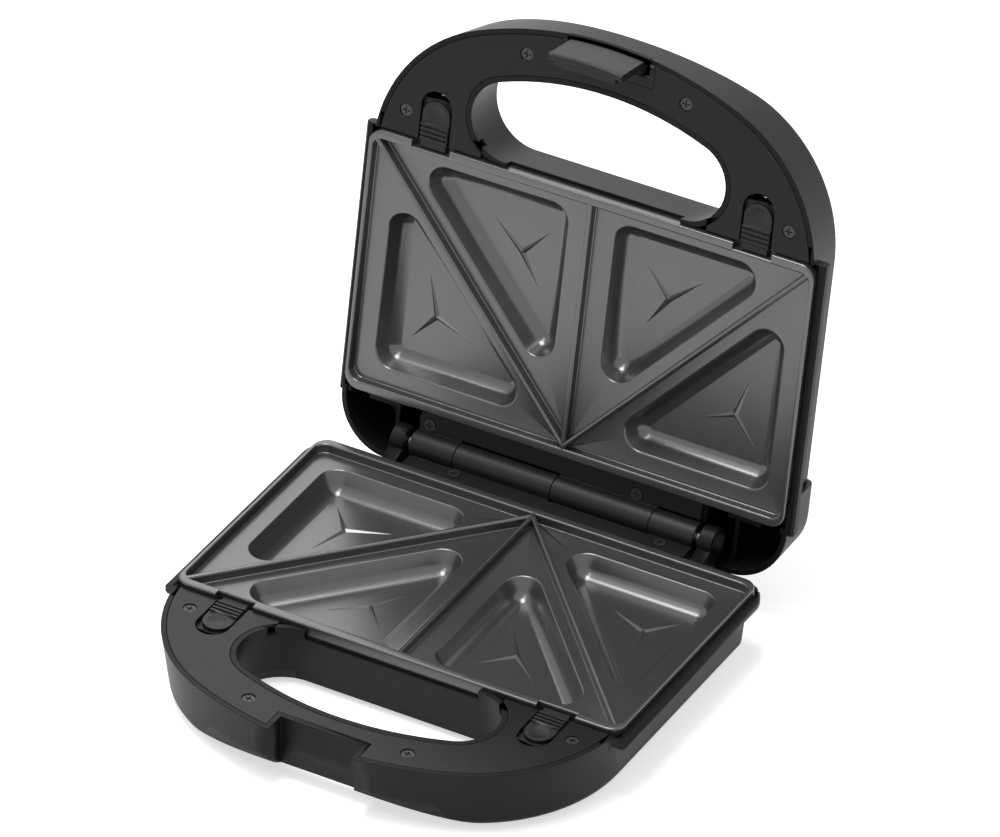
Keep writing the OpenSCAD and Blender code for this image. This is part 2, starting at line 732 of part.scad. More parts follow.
module cord_gland() {
    color([0.05, 0.05, 0.05]) in_base() translate([91, 0, -19]) rotate([-90, 0, 0]) rotate_extrude() difference() {
        union() {
            translate([3.4, rear_y - 8]) square([1.65, 11]);
            translate([3.4, rear_y - 0.35]) square([4.4, 2.6]);
            translate([3.4, rear_y - 8.6]) square([3, 1.8]);
        }
    }
}

// ---------- lid only ----------

module latch_clip() {
    color([0.12, 0.12, 0.125]) in_lid() difference() {
        union() {
            box_at(-clip_w / 2, clip_w / 2, clip_y, clip_y + clip_t, -18, clip_reach);
            box_at(-clip_w / 2 + 3, clip_w / 2 - 3, clip_y + clip_t - 1, notch_y - 2, clip_reach - 3.5, clip_reach);
            box_at(-clip_w / 2 + 3, clip_w / 2 - 3, clip_y - 1.6, clip_y + 1, -18, -15.6);
            both_sides() {
                box_at(13, 16.5, clip_y + 1, pivot_y, pivot_z - 2.8, pivot_z + 2.8);
                translate([13, pivot_y, pivot_z]) rotate([0, 90, 0]) cylinder(h = 3.5, r = 2.8);
            }
        }
        translate([-30, pivot_y, pivot_z]) rotate([0, 90, 0]) cylinder(h = 60, r = 1.3);
    }
}

module latch_pin() {
    color([0.6, 0.6, 0.62]) in_lid()
        translate([-notch_x - wall_t, pivot_y, pivot_z]) rotate([0, 90, 0])
            cylinder(h = 2 * (notch_x + wall_t), r = 1.25);
}

module latch_spring() {
    wire = 0.4;
    turns = 8;
    pitch = 1.25;
    color([0.7, 0.7, 0.72]) in_lid() translate([-turns * pitch / 2, pivot_y, pivot_z]) {
        rotate([0, 90, 0]) rotate([0, 0, 90]) coil(1.75, wire, pitch, turns);
    }
}

module lamp_holder() {
    color([0.8, 0.78, 0.7]) in_lid() {
        box_at(-18, 18, -55, -45, inner_floor_z + 1.6, inner_floor_z + 3.2);
        for (x = [-10, 10])
            translate([x, -50, inner_floor_z + 0.3]) cylinder(h = 1.5, r = 1.8);
    }
}

module lens(x, tone) {
    color(tone) in_lid() translate([x, -50, 0]) {
        translate([0, 0, floor_z - 0.6]) cylinder(h = wall_t + 0.7, r = 3);
        difference() {
            translate([0, 0, floor_z + wall_t]) cylinder(h = 1.5, r = 3.9);
            translate([0, 0, floor_z + wall_t + 0.2]) cylinder(h = 2, r = 2.2);
        }
        intersection() {
            translate([0, 0, floor_z + 1.4]) sphere(r = 3.605);
            translate([0, 0, floor_z - 5]) cylinder(h = 4.4, r = 3);
        }
    }
}

base_shell();
color([0.1, 0.1, 0.105]) in_base() half_cover();  // base_cover
color([0.22, 0.22, 0.22]) in_base() cooking_plate();  // base_plate
color([0.75, 0.75, 0.76]) in_base() reflector();  // base_reflector
color([0.5, 0.5, 0.5]) in_base() heater();  // base_heater
color([0.11, 0.11, 0.115]) in_base() slider(-1);  // base_slider_left
color([0.11, 0.11, 0.115]) in_base() slider(1);  // base_slider_right
color([0.7, 0.7, 0.72]) in_base() slider_springs();  // base_slider_springs
color([0.13, 0.13, 0.13]) in_base() base_leaf();  // base_hinge_leaf
hinge_pin();
color([0.1, 0.1, 0.1]) in_base() leaf_screw_set(base_leaf_screws);  // base_hinge_screws
color([0.1, 0.1, 0.1]) in_base() cover_screw_set();  // base_cover_screws
color([0.6, 0.6, 0.62]) in_base() tray_screws();  // base_tray_screws
feet();
thermostat();
thermal_fuse();
terminal_block();
cord_gland();
lid_shell();
color([0.1, 0.1, 0.105]) in_lid() half_cover();  // lid_cover
color([0.22, 0.22, 0.22]) in_lid() cooking_plate();  // lid_plate
color([0.75, 0.75, 0.76]) in_lid() reflector();  // lid_reflector
color([0.5, 0.5, 0.5]) in_lid() heater();  // lid_heater
color([0.11, 0.11, 0.115]) in_lid() slider(1);  // lid_slider_left
color([0.11, 0.11, 0.115]) in_lid() slider(-1);  // lid_slider_right
color([0.7, 0.7, 0.72]) in_lid() slider_springs();  // lid_slider_springs
color([0.13, 0.13, 0.13]) in_lid() lid_leaf();  // lid_hinge_leaf
color([0.1, 0.1, 0.1]) in_lid() leaf_screw_set(lid_leaf_screws);  // lid_hinge_screws
color([0.1, 0.1, 0.1]) in_lid() cover_screw_set();  // lid_cover_screws
color([0.6, 0.6, 0.62]) in_lid() tray_screws();  // lid_tray_screws
latch_clip();
latch_pin();
latch_spring();
lamp_holder();
lens(-10, [0.75, 0.08, 0.05]);  // power_lens
lens(10, [0.1, 0.55, 0.15]);  // ready_lens
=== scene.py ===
"""Looks of the sandwich toaster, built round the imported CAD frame.

Lengths are millimetres in the frame of one half, until placed() moves them and scales them to metres.
"""

import json
import math

import bmesh
import bpy
import numpy as np
from mathutils import Matrix, Vector


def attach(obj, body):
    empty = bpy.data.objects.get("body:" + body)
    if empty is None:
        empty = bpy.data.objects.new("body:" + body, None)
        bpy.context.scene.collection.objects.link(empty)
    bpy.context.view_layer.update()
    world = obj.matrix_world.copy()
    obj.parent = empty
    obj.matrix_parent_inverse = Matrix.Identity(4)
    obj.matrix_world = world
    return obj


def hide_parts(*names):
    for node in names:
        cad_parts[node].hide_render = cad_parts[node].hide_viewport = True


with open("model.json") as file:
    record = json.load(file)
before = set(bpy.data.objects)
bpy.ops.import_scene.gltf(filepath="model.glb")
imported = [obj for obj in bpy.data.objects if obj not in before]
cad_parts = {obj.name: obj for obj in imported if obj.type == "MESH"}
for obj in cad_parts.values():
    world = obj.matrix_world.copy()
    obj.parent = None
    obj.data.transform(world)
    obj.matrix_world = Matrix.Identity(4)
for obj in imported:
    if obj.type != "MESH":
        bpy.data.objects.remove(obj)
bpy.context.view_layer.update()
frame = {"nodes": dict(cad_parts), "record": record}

MM = 0.001

# ---------- sizes shared with the CAD ----------
# They are in the frame of one half: the rim's top is z = 0, and the plate is centred on x and y.

PLATE_X, PLATE_Y = 110.0, 62.2  # half the plate's width and depth
HINGE_Y, HINGE_Z = PLATE_Y + 15.5, 0.5  # hinge axis
RIM_Z = 34.0  # height of the base's rim above the surface that it stands on
OPEN_ANGLE = math.radians(101.5)
CENTRE_Y = 5.98357  # from the footprint's centre to the plate's centre

LAND_Z = -4.5  # flat land round the pockets
FLOOR_Z = -14.0  # floor of the pockets
SLAB_Z = -6.9  # underside of the land
METAL = 2.0  # thickness under a pocket
RIDGE_R = 1.2  # half the width of a ridge's round top
RIM_R = 0.8  # rounding of the rim's edges
WALL_X, WALL_Y = PLATE_X - 2.0, PLATE_Y - 4.2  # foot of the rim's inner wall
LAND_CORNER = 5.0  # corner radius of the land
OUTER_CORNER = 7.0  # corner radius of the plate
DIAG_IN, DIAG_UP = 6.0, 7.2  # start of the diagonal ridge, from the plate's left and front edges
DIAG_ENDS = 12.2  # how much of the plate's depth the ridge's two ends leave
DIAG_START = (DIAG_IN - PLATE_X, DIAG_UP - PLATE_Y)
DIAG_SLOPE = (2 * PLATE_Y - DIAG_ENDS) / (PLATE_X - DIAG_IN)
POCKET_R, POCKET_GAP = 9.0, 6.5  # corner radius of a pocket, and its distance from the diagonal ridge
NOTCH = (70.0, 89.0)  # catch notch: from and to, along x
NOTCH_Y = -PLATE_Y + 2.9
NOTCH_Z = -4.9
EDGE_X = 95.0  # beyond this the rim's points spread to meet the round corner
TONGUE_X = (84.0, 96.0)  # rear tongue of the plate
TONGUE_Z = (-6.4, -4.6)


def base_matrix():
    """From the frame of a half to the row frame, for the base."""
    return Matrix.Translation((0, -CENTRE_Y, RIM_Z))


def lid_matrix():
    """From the frame of a half to the row frame, for the lid: turned over, moved to the hinge and opened."""
    turn = Matrix.Rotation(-OPEN_ANGLE, 4, "X")
    over = Matrix.Rotation(math.pi, 4, "Y")
    return (
        Matrix.Translation((0, HINGE_Y - CENTRE_Y, RIM_Z + HINGE_Z))
        @ turn
        @ Matrix.Translation((0, -HINGE_Y, HINGE_Z))
        @ over
    )


# ---------- mesh helpers ----------


def weld(points, faces):
    """Joins points that share a place and drops the faces that have lost a corner."""
    keys = np.round(points * 2e4).astype(np.int64)
    _, first, back = np.unique(keys, axis=0, return_index=True, return_inverse=True)
    faces = back.reshape(-1)[faces]
    a, b, c = faces.T
    faces = faces[(a != b) & (b != c) & (a != c)]
    return points[first], faces


def grid_faces(rows, columns, wrap=False):
    """Triangles of a grid of points numbered row by row."""
    last = columns if wrap else columns - 1
    r, c = np.meshgrid(np.arange(rows - 1), np.arange(last), indexing="ij")
    n = (c + 1) % columns
    a, b = r * columns + c, r * columns + n
    d, e = (r + 1) * columns + c, (r + 1) * columns + n
    return np.concatenate([np.stack(t, -1).reshape(-1, 3) for t in ((a, b, e), (a, e, d))])


def make_object(name, points, faces, sharp):
    """A mesh object at the origin, with smooth faces that break at angles above sharp."""
    mesh = bpy.data.meshes.new(name)
    mesh.from_pydata(points.tolist(), [], faces.tolist())
    mesh.update()
    mesh.shade_smooth()
    mesh.set_sharp_from_angle(angle=math.radians(sharp))
    obj = bpy.data.objects.new(name, mesh)
    bpy.context.scene.collection.objects.link(obj)
    return obj


def placed(points, matrix):
    """Points of a half's frame, moved to the row frame and scaled to metres."""
    return (np.column_stack([points, np.ones(len(points))]) @ np.array(matrix).T)[:, :3] * MM


# ---------- cooking plates ----------

RUN_POINTS, ARC_POINTS = 72, 14  # points on a straight run and on a corner arc of a cell


def pocket_profile():
    """Distance from the pocket's core and height, from the floor outwards.

    A crease at the floor, a concave arc that starts 12 degrees up and ends 65 degrees up, a straight wall at
    that slope, and a small convex arc on to the land.
    """
    low, high = math.radians(12), math.radians(65)
    crease, lip, wall = 1.1, 1.0, 5.375
    rise = LAND_Z - FLOOR_Z - wall * math.sin(high) - lip * (1 - math.cos(high))
    hollow = rise / (math.cos(low) - math.cos(high))
    a = np.linspace(low, high, 13)
    u = crease + hollow * (np.sin(a) - math.sin(low))
    z = FLOOR_Z + hollow * (math.cos(low) - np.cos(a))
    b = np.linspace(high, 0, 11)
    u2 = u[-1] + wall * math.cos(high) + lip * (math.sin(high) - np.sin(b))
    z2 = z[-1] + wall * math.sin(high) + lip * (np.cos(b) - math.cos(high))
    return np.r_[0.0, u, u2], np.r_[FLOOR_Z, z, z2]


def line(start, end, count):
    """Points from start to end, closer together near both ends."""
    t = (1 - np.cos(np.linspace(0, math.pi, count))) / 2
    return np.outer(1 - t, start) + np.outer(t, end)


def arc(centre, radius, start, end, count):
    """Points of a circle between two angles in degrees."""
    a = np.radians(np.linspace(start, end, count))
    return np.array(centre) + radius * np.stack([np.cos(a), np.sin(a)], -1)


def diagonal(x, off=0.0):
    """Height y of the diagonal ridge's centre line at x, moved sideways by off."""
    return DIAG_START[1] + (x - DIAG_START[0]) * DIAG_SLOPE + off * math.hypot(1, DIAG_SLOPE)


def corner_hit(radius, off):
    """Where the diagonal line crosses the rounded front corner of the given radius."""
    c = np.array([-WALL_X + LAND_CORNER, -WALL_Y + LAND_CORNER])
    x = np.linspace(-PLATE_X, -PLATE_X + 12, 4001)
    d = np.hypot(x - c[0], diagonal(x, off) - c[1])
    i = np.where(d < radius)[0][0]
    hit = np.array([x[i], diagonal(x[i], off)])
    return hit, math.degrees(math.atan2(*(hit - c)[::-1])) % 360


def outer_cell():
    """Boundary of the left rear pocket's cell, at the foot of the walls and at their tops, and its core."""
    n, m = RUN_POINTS, ARC_POINTS
    c = np.array([-WALL_X + LAND_CORNER, -WALL_Y + LAND_CORNER])
    c2 = np.array([-WALL_X + LAND_CORNER, WALL_Y - LAND_CORNER])
    w1, a1 = corner_hit(LAND_CORNER, RIDGE_R)
    k1, b1 = corner_hit(LAND_CORNER + RIM_R, 0)
    rear_x = (WALL_Y - diagonal(0, RIDGE_R)) / DIAG_SLOPE
    top = WALL_Y + RIM_R
    foot = [
        line(w1, (rear_x, WALL_Y), n),
        line((rear_x, WALL_Y), (rear_x, WALL_Y), 3),
        line((rear_x, WALL_Y), (c2[0], WALL_Y), n),
        arc(c2, LAND_CORNER, 90, 180, m),
        line((-WALL_X, c2[1]), (-WALL_X, c[1]), n),
        arc(c, LAND_CORNER, 180, a1, m),
    ]
    crest = [
        line(k1, (0, diagonal(0)), n),
        line((0, diagonal(0)), (0, top), 3),
        line((0, top), (c2[0], top), n),
        arc(c2, LAND_CORNER + RIM_R, 90, 180, m),
        line((-WALL_X - RIM_R, c2[1]), (-WALL_X - RIM_R, c[1]), n),
        arc(c, LAND_CORNER + RIM_R, 180, b1, m),
    ]
    return foot, crest, [False, False, True, True, True, True], outer_core()


def inner_cell():
    """Boundary of the left front pocket's cell, as for the outer one."""
    n, m = RUN_POINTS, ARC_POINTS
    c = np.array([-WALL_X + LAND_CORNER, -WALL_Y + LAND_CORNER])
    w1, a1 = corner_hit(LAND_CORNER, -RIDGE_R)
    k1, b1 = corner_hit(LAND_CORNER + RIM_R, 0)
    low = -WALL_Y - RIM_R
    tip = (-RIDGE_R, diagonal(-RIDGE_R, -RIDGE_R))
    foot = [
        arc(c, LAND_CORNER, a1, 270, m),
        front_line(c[0], -RIDGE_R, -WALL_Y, n),
        line((-RIDGE_R, -WALL_Y), tip, n),
        line(tip, w1, n),
    ]
    crest = [
        arc(c, LAND_CORNER + RIM_R, b1, 270, m),
        front_line(c[0], 0, low, n),
        line((0, low), (0, diagonal(0)), n),
        line((0, diagonal(0)), k1, n),
    ]
    return foot, crest, [True, True, False, False], inner_core()


def front_line(x0, x1, y, count):
    """Points along the front, with doubled points at the two ends of the catch notch."""
    edges = [(x0, -NOTCH[1]), (-NOTCH[1], -NOTCH[0]), (-NOTCH[0], x1)]
    return np.concatenate([line((a, y), (b, y), n) for (a, b), n in zip(edges, (14, 22, count))])


def outer_core():
    """Corner centres of the left rear pocket, as in the CAD."""
    r, gap, side, rear = POCKET_R, POCKET_GAP, 11.5, 11.9
    xl, yt = -(PLATE_X - side) + r, PLATE_Y - rear - r
    slant = math.hypot(1, DIAG_SLOPE)
    xr = (yt + PLATE_Y - DIAG_UP - (gap + r) * slant) / DIAG_SLOPE - PLATE_X + DIAG_IN
    return np.array([(xl, diagonal(xl, gap + r)), (xr, yt), (xl, yt)])


def inner_core():
    """Corner centres of the left front pocket, as in the CAD."""
    r, gap, middle, front = POCKET_R, POCKET_GAP, 11.0, 9.6
    xr, yb = -middle - r, -PLATE_Y + front + r
    slant = math.hypot(1, DIAG_SLOPE)
    xl = (yb + PLATE_Y - DIAG_UP + (gap + r) * slant) / DIAG_SLOPE - PLATE_X + DIAG_IN
    return np.array([(xl, yb), (xr, yb), (xr, diagonal(xr, -gap - r))])


def nearest_on(core, points):
    """The point of a triangle's outline nearest to each point."""
    best, place = np.full(len(points), np.inf), np.zeros_like(points)
    for p, q in zip(core, np.roll(core, -1, 0)):
        t = np.clip(((points - p) @ (q - p)) / ((q - p) @ (q - p)), 0, 1)
        near = p + t[:, None] * (q - p)
        d = np.hypot(*(points - near).T)
        place[d < best] = near[d < best]
        best = np.minimum(best, d)
    return place


def plate_cell(foot, crest, is_rim, core):
    """Top and underside of one cell of the plate.

    Each point of the foot curve is joined to the nearest point of the pocket's core. Along that line the
    height follows the pocket's profile, then the flat land; from the foot to the crest it follows a small
    fillet, an upright wall and a rounded top. The underside runs a metal thickness lower. A pole closes the
    pocket's floor.
    """
    rim = np.concatenate([np.full(len(f), k) for f, k in zip(foot, is_rim)])
    foot, crest = np.concatenate(foot), np.concatenate(crest)
    near = nearest_on(core, foot)
    away = foot - near
    reach = np.hypot(*away.T)
    away = away / reach[:, None]
    u, z = pocket_profile()
    rows = [(near + away * d, np.full(len(foot), h)) for d, h in zip(u, z)]
    fillet = 0.5
    step = crest - foot
    width = np.where(rim, RIM_R, RIDGE_R)
    for a in np.radians(np.linspace(0, 90, 7)):
        share = (-fillet + fillet * math.sin(a)) / width
        rows.append((foot + step * share[:, None], np.full(len(foot), LAND_Z + fillet * (1 - math.cos(a)))))
    for a in np.radians(np.linspace(0, 90, 13)):
        rows.append((foot + step * (1 - math.cos(a)), -width + width * math.sin(a)))
    points = np.concatenate([np.column_stack([p, h]) for p, h in rows])
    faces = grid_faces(len(rows), len(foot), wrap=True)
    middle = np.append(core.mean(0), FLOOR_Z)
    ring = np.arange(len(foot))
    fan = np.stack([np.full(len(ring), len(points)), ring, (ring + 1) % len(ring)], -1)
    top_points, top_faces = np.vstack([points, middle]), np.vstack([faces, fan])
    cove, cove_rise, bowl = 5.5, 1.2, 10.4
    under = [
        (near, FLOOR_Z - METAL),
        (near + away * cove, FLOOR_Z - METAL + cove_rise),
        (near + away * bowl, SLAB_Z),
        (crest, SLAB_Z),
    ]
    points = np.concatenate([np.column_stack([p, np.full(len(p), h)]) for p, h in under])
    faces = grid_faces(len(under), len(foot), wrap=True)[:, ::-1]
    middle = np.append(core.mean(0), FLOOR_Z - METAL)
    fan = np.stack([np.full(len(ring), len(points)), (ring + 1) % len(ring), ring], -1)
    low_points, low_faces = np.vstack([points, middle]), np.vstack([faces, fan])
    return join((top_points, top_faces), (low_points, low_faces))


def join(*parts):
    """One list of points and faces from several."""
    start, points, faces = 0, [], []
    for p, f in parts:
        points.append(p)
        faces.append(f + start)
        start += len(p)
    return np.concatenate(points), np.concatenate(faces)


def plate_rim(crest, outline, step):
    """The flat top, rounded edge and outer side of the rim along one run of the crest, and its underside.

    The side follows outline from the top down to the notch level and step below it; both are the same plain
    edge except at the catch notch.
    """
    inward = crest - outline
    inward = inward / np.hypot(*inward.T)[:, None]
    rows = [(crest, 0.0)]
    for a in np.radians(np.linspace(90, 0, 9)):
        rows.append((outline + inward * RIM_R * (1 - math.cos(a)), -RIM_R * (1 - math.sin(a))))
    rows += [(outline, NOTCH_Z), (step, NOTCH_Z), (step, SLAB_Z), (crest, SLAB_Z)]
    points = np.concatenate([np.column_stack([p, np.full(len(p), h)]) for p, h in rows])
    return points, grid_faces(len(rows), len(crest))


def cell_rims(foot, crest, is_rim):
    """Rim pieces for those runs of a cell's boundary that lie on the rim."""
    parts = []
    c = np.array([PLATE_X - OUTER_CORNER, PLATE_Y - OUTER_CORNER])
    for run, on_rim in zip(crest, is_rim):
        if not on_rim:
            continue
        outline = rim_outline(run, c)
        step = outline.copy()
        if run[0, 1] == run[-1, 1] and run[0, 1] < 0:
            x = run[:, 0]
            first, last = np.where(x == -NOTCH[1])[0][1], np.where(x == -NOTCH[0])[0][0]
            outline[first : last + 1, 1] = NOTCH_Y
        parts.append(plate_rim(run, outline, step))
    return parts


def rim_outline(run, c):
    """Points of the plate's outline, a rectangle with round corners, opposite the points of a crest run."""
    x, y = run.T
    centre = np.array([-c[0], math.copysign(c[1], y.mean())])
    if np.ptp(x) > 1e-6 and np.ptp(y) > 1e-6:
        crest_centre = np.array([-WALL_X + LAND_CORNER, math.copysign(WALL_Y - LAND_CORNER, y.mean())])
        d = run - crest_centre
        a = np.arctan2(np.abs(d[:, 1]), np.abs(d[:, 0]))
        return centre + OUTER_CORNER * np.stack([-np.cos(a), np.sign(centre[1]) * np.sin(a)], -1)
    if np.ptp(y) > 1e-6:
        edge = PLATE_Y - OUTER_CORNER
        reach = WALL_Y - LAND_CORNER
        return np.stack([np.full(len(x), -PLATE_X), y * edge / reach], -1)
    reach, edge = WALL_X - LAND_CORNER, PLATE_X - OUTER_CORNER
    x = np.where(x < -EDGE_X, -EDGE_X + (x + EDGE_X) * (edge - EDGE_X) / (reach - EDGE_X), x)
    return np.stack([x, np.full(len(x), math.copysign(PLATE_Y, y[0]))], -1)


def star_mark(at, ends):
    """A low pressed mark of three arms with sharp crests: an apex, three tips and the valleys between."""
    height, edge, sunk, valley = 0.95, 0.03, 0.5, 1.5
    apex = np.array([*at, FLOOR_Z + height])
    ends = sorted(ends, key=lambda e: math.atan2(e[1], e[0]))
    ring = []
    for e, f in zip(ends, ends[1:] + ends[:1]):
        ring.append([at[0] + e[0], at[1] + e[1], FLOOR_Z + edge])
        a, b = math.atan2(e[1], e[0]), math.atan2(f[1], f[0])
        b += 2 * math.pi if b < a else 0
        way = (a + b) / 2
        ring.append([at[0] + valley * math.cos(way), at[1] + valley * math.sin(way), FLOOR_Z + edge])
    ring = np.array(ring)
    low = ring - (0, 0, sunk)
    points = np.vstack([apex, ring, low, [*at, FLOOR_Z - sunk]])
    i = np.arange(6)
    n = (i + 1) % 6
    faces = np.vstack(
        [
            np.stack([0 * i, 1 + i, 1 + n], -1),
            np.stack([7 + i, 7 + n, 1 + n], -1),
            np.stack([7 + i, 1 + n, 1 + i], -1),
            np.stack([0 * i + 13, 7 + n, 7 + i], -1),
        ]
    )
    return points, faces


def block(x0, x1, y0, y1, z0, z1):
    """A plain box as points and outward faces."""
    points = np.array([[x, y, z] for x in (x0, x1) for y in (y0, y1) for z in (z0, z1)])
    quads = np.array([(0, 1, 3, 2), (4, 6, 7, 5), (0, 4, 5, 1), (2, 3, 7, 6), (0, 2, 6, 4), (1, 5, 7, 3)])
    return points, quads[:, [0, 1, 2, 0, 2, 3]].reshape(-1, 3)


def mirrored(part):
    """The same part on the other side of x = 0, still facing outwards."""
    points, faces = part
    return points * (-1, 1, 1), faces[:, ::-1]


def cooking_plate(name, matrix):
    """The whole plate: four cells, the rim round them, the three-armed marks and the two rear tongues."""
    shell = []
    for cell in (outer_cell(), inner_cell()):
        shell.append(plate_cell(*cell))
        shell += cell_rims(*cell[:3])
    shell += [mirrored(part) for part in shell]
    shell = weld(*join(*shell))
    extra = [
        star_mark((-74.5, PLATE_Y - 39.5), [(-12, 13.5), (-6, -20), (19.5, 7.7)]),
        star_mark((-36.5, PLATE_Y - 82.5), [(-16, -13), (10, 15), (13, -13.5)]),
        block(*TONGUE_X, PLATE_Y - 1, PLATE_Y + 2.4, *TONGUE_Z),
    ]
    extra += [mirrored(part) for part in extra]
    points, faces = join(shell, *extra)
    return make_object(name, placed(points, matrix), faces, 14)


base_plate = cooking_plate("base_plate_cast", base_matrix())
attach(base_plate, "base")
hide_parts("base_plate")
lid_plate = cooking_plate("lid_plate_cast", lid_matrix())
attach(lid_plate, "lid")
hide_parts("lid_plate")


# ---------- latch, its bay in the lid, and the base shell ----------

FRONT_Y = -PLATE_Y - 71.2  # front of the handle
FRONT_R, FRONT_CY = 168.2, 34.8  # radius and centre of the front's arc
WALL_LEAN = 17 / 144  # how far the outer wall leans inwards for each unit down
FACE_Z = -2.0  # face of the covers
LIFT_Y, LIFT_Z, LIFT_R = -102.0, 10.0, 41.15  # axis and radius of the handle's lifted underside
SHELL_T, BAY_T = 2.4, 0.9  # thickness of the walls round the latch bay, and of the wall in front of it
BAY_X, BAY_Y = 20.5, FRONT_Y + 12  # half the bay's width, and its rear wall
CLIP_X, NOSE_X = 18.0, 15.0  # half the width of the latch and of its nose
PIVOT = (-125.2, -12.0)
EAR_X, EAR_T, EAR_R = 14.75, 1.75, 2.8  # the latch's ears: middle, half a thickness and radius
EAR_SIDES = 24
CHEEK_X = (73.7, 80.7)  # the hinge cheeks' two faces, with a little room
CHEEK_R, BARREL_END_R = 10.4, 7.0  # radius of a cheek's ring in the CAD and as the photograph shows it


def front_arc(x):
    """Height y of the handle's front edge at x."""
    return FRONT_CY - np.sqrt(FRONT_R**2 - x**2)


def lift(y):
    """Height z of the handle's lifted underside at y."""
    return LIFT_Z - np.sqrt(LIFT_R**2 - (y - LIFT_Y) ** 2)


def ribbon(outer, inner, x):
    """A thick ribbon with closed ends.

    outer and inner are arrays of shape (rows, columns, 2) that give y and z along the section's two sides at
    each x. The section's loop runs down the outer side and back up the inner one.
    """
    loop = np.concatenate([outer, inner[::-1]])
    rows, columns = loop.shape[:2]
    points = np.dstack([np.broadcast_to(x, (rows, columns)), loop])
    ring = np.vstack([points, points[:1]]).reshape(-1, 3)
    faces = grid_faces(rows + 1, columns)
    half = rows // 2
    i = np.arange(half - 1)
    for column, flip in ((0, True), (columns - 1, False)):
        a, b = i * columns + column, (i + 1) * columns + column
        c, d = (rows - 2 - i) * columns + column, (rows - 1 - i) * columns + column
        cap = np.concatenate([np.stack([a, b, c], -1), np.stack([a, c, d], -1)])
        faces = np.vstack([faces, cap[:, ::-1] if flip else cap])
    return ring, faces


def latch_ear(side):
    """One round ear of the latch: two circles about the pin, joined by a wall and closed by fans."""
    turn = np.radians(np.linspace(0, 360, EAR_SIDES + 1))[:-1]
    circle = np.column_stack([PIVOT[0] + EAR_R * np.cos(turn), PIVOT[1] + EAR_R * np.sin(turn)])
    faces_x = (side * EAR_X - EAR_T, side * EAR_X + EAR_T)
    ends = [np.column_stack([np.full(EAR_SIDES, x), circle]) for x in faces_x]
    middles = [[x, *PIVOT] for x in faces_x]
    i = np.arange(EAR_SIDES)
    n = (i + 1) % EAR_SIDES
    first, second = 2 * EAR_SIDES, 2 * EAR_SIDES + 1
    near_fan = np.stack([0 * i + first, n, i], -1)
    far_fan = np.stack([0 * i + second, EAR_SIDES + i, EAR_SIDES + n], -1)
    return np.vstack([*ends, middles]), np.vstack([grid_faces(2, EAR_SIDES, wrap=True), near_fan, far_fan])


def latch_tab():
    """The latch: a stem inside the lid, a shoulder and a flat tab along the front arc, a nose and two ears.

    Each side of the section is a list of distances behind the front arc and heights, and ends in a quarter
    round.
    """
    x = np.linspace(-CLIP_X, CLIP_X, 25)
    end_z, end_r = 18.2, 1.3
    end = np.radians(np.linspace(180, 90, 5))
    outer = [(4.5, -18), (4.5, -4), (4.5, -1.2), (1.6, -0.1), (1.8, 9)]
    outer += [(3.2 + end_r * math.cos(a), end_z + end_r * math.sin(a)) for a in end]
    inner = [(7.4, -18), (7.4, -4), (7.4, 0.5), (5.0, 2.4), (5.1, 9)]
    inner += [(3.9 - end_r * math.cos(a), end_z + end_r * math.sin(a)) for a in end]
    sides = []
    for side in (outer, inner):
        off, z = np.array(side).T
        y = front_arc(x)[None, :] + off[:, None]
        sides.append(np.dstack([y, np.broadcast_to(z[:, None], y.shape)]))
    nose = block(-NOSE_X, NOSE_X, FRONT_Y + 4.2, FRONT_Y + 8, 16, 19)
    return join(ribbon(*sides, x), nose, latch_ear(-1), latch_ear(1))


def bay_wall():
    """The lid's front wall across the latch bay, and the lifted underside of the handle behind it.

    The outer side runs down the leaning wall and then along the round lift; the inner side lies a wall
    inside. The ends reach a little into the shell. The wall's foot, on the lift, is found in a few rounds.
    """
    into, floor_t, rows = 0.1, 1.1, 8
    x = np.linspace(-BAY_X - into, BAY_X + into, 31)
    foot = np.full_like(x, -16.0)
    for _ in range(6):
        foot = lift(front_arc(x) + (FACE_Z - foot) * WALL_LEAN)
    t = np.linspace(0, 1, rows + 1)[:, None]
    z = FACE_Z + (foot - FACE_Z) * t
    wall = np.dstack([front_arc(x) + (FACE_Z - z) * WALL_LEAN, z])
    y = wall[-1, :, 0] + (BAY_Y + into - wall[-1, :, 0]) * t[1:]
    outer = np.concatenate([wall, np.dstack([y, lift(y)])])
    step = np.concatenate([np.tile((BAY_T, 0.0), (rows, 1)), np.tile((BAY_T, floor_t), (rows + 1, 1))])
    return ribbon(outer, outer + step[:, None, :], x)


def bay_surround():
    """The cover's plate round the latch's stem: flat, with a slot that is open towards the shell's lip."""
    edge, slot = BAY_X + SHELL_T, BAY_X - 0.1
    lip, stem, proud, thickness = 2.5, 8.4, 0.08, 1.5
    side, middle = 3, 21
    left = np.linspace(-edge, -slot, side)
    x = np.concatenate([left, np.linspace(-slot, slot, middle), -left[::-1]])
    near = front_arc(x) + np.repeat([lip, stem, lip], [side, middle, side])
    t = np.linspace(0, 1, 5)[:, None]
    y = near + (BAY_Y + SHELL_T - near) * t
    top = np.dstack([y, np.full(y.shape, FACE_Z + proud)])
    low = np.dstack([y, np.full(y.shape, FACE_Z - thickness)])
    return ribbon(top, low, x)


def riding(name, part, matrix, body, sharp=30):
    """A new piece from a half's points and faces, which rides on a body."""
    points, faces = part
    piece = make_object(name, placed(points, matrix), faces, sharp)
    bm = bmesh.new()
    bm.from_mesh(piece.data)
    bmesh.ops.remove_doubles(bm, verts=bm.verts, dist=1e-6)
    bmesh.ops.recalc_face_normals(bm, faces=bm.faces)
    bm.to_mesh(piece.data)
    bm.free()
    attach(piece, body)
    return piece


